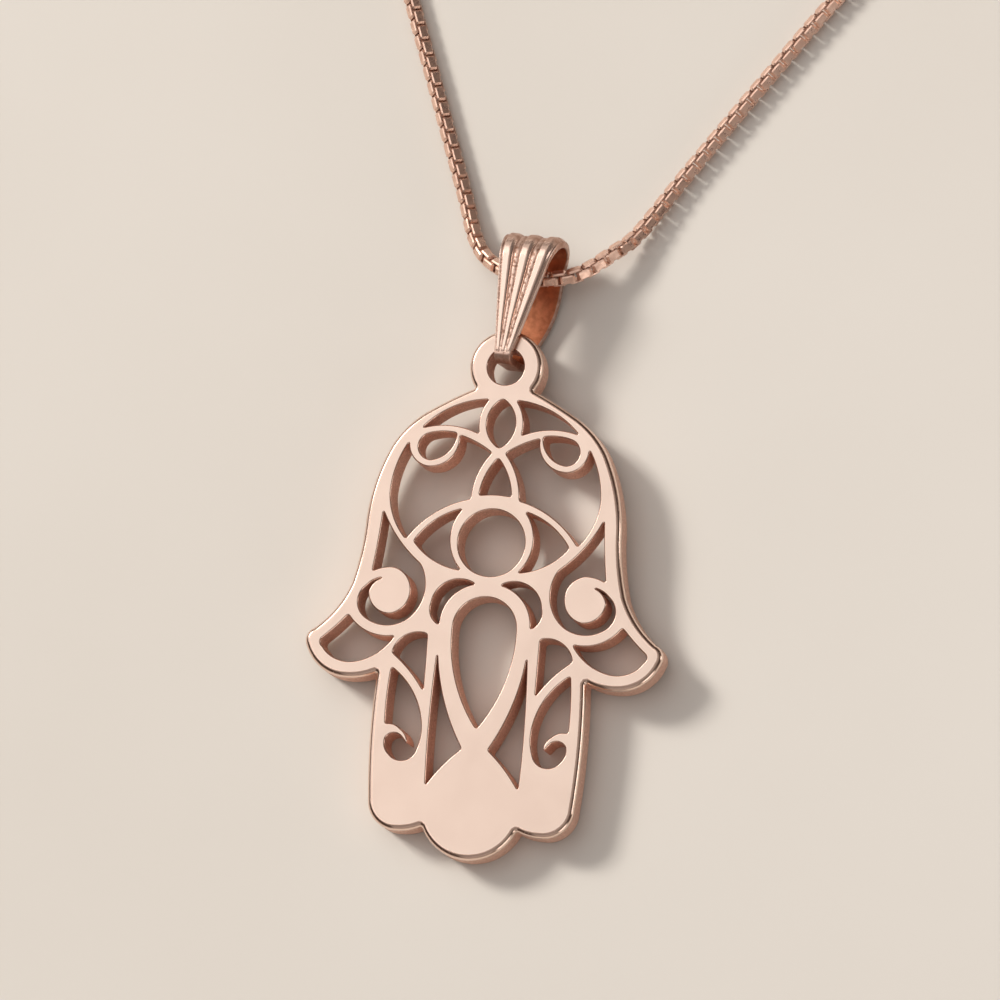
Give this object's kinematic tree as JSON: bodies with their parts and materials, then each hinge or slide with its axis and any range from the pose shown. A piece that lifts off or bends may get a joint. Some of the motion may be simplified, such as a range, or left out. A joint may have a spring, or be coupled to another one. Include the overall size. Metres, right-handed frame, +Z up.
{
  "type": "hamsa pendant necklace",
  "caption": "Pierced rose-gold hamsa hand pendant on a fluted bail and a box chain, laid flat as a closed necklace with a spring-ring clasp.",
  "frame": {"origin": "centre of the neck loop, on the flat surface that the necklace lies on", "axes": "+Z up from the surface, +Y from the pendant's tip towards the clasp, +X to the right as the pendant's face is read"},
  "size_m": [0.1152, 0.2135, 0.004],
  "materials": {
    "satin_rose_gold": "satin-polished rose-gold plate with matt sawn walls",
    "polished_rose_gold": "polished rose gold with oxidised grooves",
    "chain_rose_gold": "polished rose-gold box links",
    "clasp_rose_gold": "polished rose-gold wire"
  },
  "bodies": {
    "root": {"hand": "satin_rose_gold", "bail": "polished_rose_gold", "chain": "chain_rose_gold", "clasp": "clasp_rose_gold", "clasp_link": "clasp_rose_gold", "end_link": "clasp_rose_gold"}
  },
  "joints": []
}
